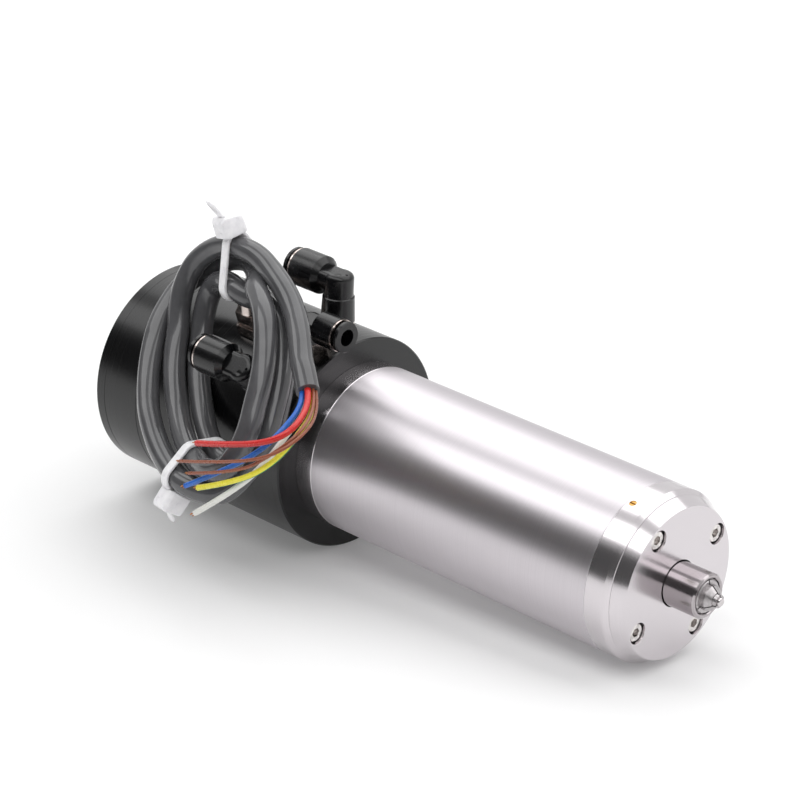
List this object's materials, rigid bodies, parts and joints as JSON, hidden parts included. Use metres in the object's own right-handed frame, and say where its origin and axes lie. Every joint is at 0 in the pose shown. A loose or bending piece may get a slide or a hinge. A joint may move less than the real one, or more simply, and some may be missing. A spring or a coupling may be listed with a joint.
{
  "type": "motor spindle",
  "caption": "Motor spindle with a bare steel barrel for a round clamp, black tail housing, push-in elbows, air-released collet and a tied coil of motor cable with bare wires.",
  "frame": {"origin": "on the spindle axis at the shoulder, where the barrel leaves the front face of the tail housing", "axes": "+X along the spindle axis out of the nose, +Z towards the stem of the upper elbow, so the cable coil lies towards -Y"},
  "size_m": [0.2674, 0.1283, 0.123],
  "materials": {
    "barrel_steel": "stainless steel, fine turned",
    "ring_steel": "stainless steel, turned",
    "ground_steel": "ground and polished tool steel",
    "spring_steel": "blued spring steel",
    "bearing_steel": "polished bearing steel",
    "black_anodised": "aluminium, satin black anodised",
    "jacket_aluminium": "aluminium, as machined",
    "screw_steel": "stainless socket-head screws",
    "brass": "turned brass",
    "black_plastic": "black moulded thermoplastic",
    "nickel": "nickel-plated brass",
    "rubber": "black nitrile rubber",
    "lamination": "stacked electrical steel",
    "copper": "varnished copper winding",
    "cage_plastic": "phenolic cage",
    "cable_grey": "grey PVC jacket",
    "nylon_natural": "natural nylon, translucent",
    "wire_red": "red PVC insulation",
    "wire_blue": "blue PVC insulation",
    "wire_white": "white PVC insulation",
    "wire_yellow_green": "yellow and green PVC insulation",
    "wire_brown": "brown PVC insulation"
  },
  "bodies": {
    "housing": {"air_cylinder": "black_anodised", "air_seal_plug": "brass", "barrel": "barrel_steel", "bearing_outer_rings": "bearing_steel", "bearing_outer_spacer": "bearing_steel", "cable_coil": "cable_grey", "cable_lead": "cable_grey", "cable_tail": "cable_grey", "cable_ties": "nylon_natural", "cooling_jacket": "jacket_aluminium", "fitting_stems": "nickel", "front_bearing_housing": "ring_steel", "gland_body": "nickel", "gland_nut": "nickel", "gland_seal": "rubber", "jacket_o_rings": "rubber", "nose_cover": "ring_steel", "nose_cover_screws": "screw_steel", "preload_spring": "spring_steel", "rear_bearing_housing": "ring_steel", "rear_cover": "black_anodised", "rear_cover_screws": "screw_steel", "rod_seal": "rubber", "stator_core": "lamination", "stator_windings": "copper", "tail_housing": "black_anodised", "wire_blue": "wire_blue", "wire_brown_long": "wire_brown", "wire_brown_short": "wire_brown", "wire_red": "wire_red", "wire_white": "wire_white", "wire_yellow_green": "wire_yellow_green"},
    "rotor": {"rotor_shaft": "ground_steel", "rotor_core": "lamination", "rotor_end_rings": "jacket_aluminium", "bearing_inner_rings": "bearing_steel", "bearing_inner_spacer": "bearing_steel", "bearing_lock_nuts": "ring_steel", "disc_springs": "spring_steel"},
    "drawbar": {"drawbar": "ring_steel", "collet": "ground_steel"},
    "gauge_pin": {"gauge_pin": "ground_steel"},
    "front_cages": {"front_bearing_cages": "cage_plastic", "front_bearing_balls": "bearing_steel"},
    "rear_cage": {"rear_bearing_cage": "cage_plastic", "rear_bearing_balls": "bearing_steel"},
    "piston": {"clamp_piston": "jacket_aluminium", "piston_seal": "rubber"},
    "upper_elbow": {"upper_elbow_body": "black_plastic", "upper_elbow_ring": "nickel", "upper_elbow_seal": "rubber"},
    "upper_elbow_sleeve": {"upper_elbow_sleeve": "black_plastic"},
    "side_elbow": {"side_elbow_body": "black_plastic", "side_elbow_ring": "nickel", "side_elbow_seal": "rubber"},
    "side_elbow_sleeve": {"side_elbow_sleeve": "black_plastic"},
    "forward_elbow": {"forward_elbow_body": "black_plastic", "forward_elbow_ring": "nickel", "forward_elbow_seal": "rubber"},
    "forward_elbow_sleeve": {"forward_elbow_sleeve": "black_plastic"}
  },
  "joints": [
    {"name": "rotor_spin", "type": "hinge", "parent": "housing", "child": "rotor", "pos_m": [0, 0, 0], "axis": [1, 0, 0], "continuous": true},
    {"name": "front_cage_spin", "type": "hinge", "parent": "housing", "child": "front_cages", "pos_m": [0.125, 0, 0], "axis": [1, 0, 0], "continuous": true},
    {"name": "rear_cage_spin", "type": "hinge", "parent": "housing", "child": "rear_cage", "pos_m": [0.001, 0, 0], "axis": [1, 0, 0], "continuous": true},
    {"name": "piston_stroke", "type": "slide", "parent": "housing", "child": "piston", "axis": [1, 0, 0], "range_m": [0, 0.003], "stiffness_N_per_m": 500},
    {"name": "drawbar_release", "type": "slide", "parent": "rotor", "child": "drawbar", "axis": [1, 0, 0], "range_m": [0, 0.0011], "deforming": ["disc_springs"]},
    {"name": "gauge_pin_pull", "type": "slide", "parent": "drawbar", "child": "gauge_pin", "axis": [1, 0, 0], "range_m": [0, 0.03]},
    {"name": "upper_elbow_swivel", "type": "hinge", "parent": "housing", "child": "upper_elbow", "pos_m": [-0.0123, 0, 0.05], "axis": [0, 0, 1], "range_deg": [-180, 30]},
    {"name": "side_elbow_swivel", "type": "hinge", "parent": "housing", "child": "side_elbow", "pos_m": [-0.0123, -0.03886, 0.03147], "axis": [0, -0.7771, 0.6293], "range_deg": [-25, 25]},
    {"name": "forward_elbow_swivel", "type": "hinge", "parent": "housing", "child": "forward_elbow", "pos_m": [-0.0105, -0.01435, 0.04265], "axis": [0, -0.319, 0.9478], "range_deg": [-40, 30]},
    {"name": "upper_elbow_release", "type": "slide", "parent": "upper_elbow", "child": "upper_elbow_sleeve", "axis": [1, 0, 0], "range_m": [0, 0.0008], "stiffness_N_per_m": 400},
    {"name": "side_elbow_release", "type": "slide", "parent": "side_elbow", "child": "side_elbow_sleeve", "axis": [1, 0, 0], "range_m": [0, 0.0008], "stiffness_N_per_m": 400},
    {"name": "forward_elbow_release", "type": "slide", "parent": "forward_elbow", "child": "forward_elbow_sleeve", "axis": [-1, 0, 0], "range_m": [0, 0.0008], "stiffness_N_per_m": 400}
  ],
  "couplings": [
    {"joint": "front_cage_spin", "follows": "rotor_spin", "ratio": 0.4093},
    {"joint": "rear_cage_spin", "follows": "rotor_spin", "ratio": 0.4093},
    {"joint": "drawbar_release", "follows": "piston_stroke", "ratio": 0.35}
  ]
}
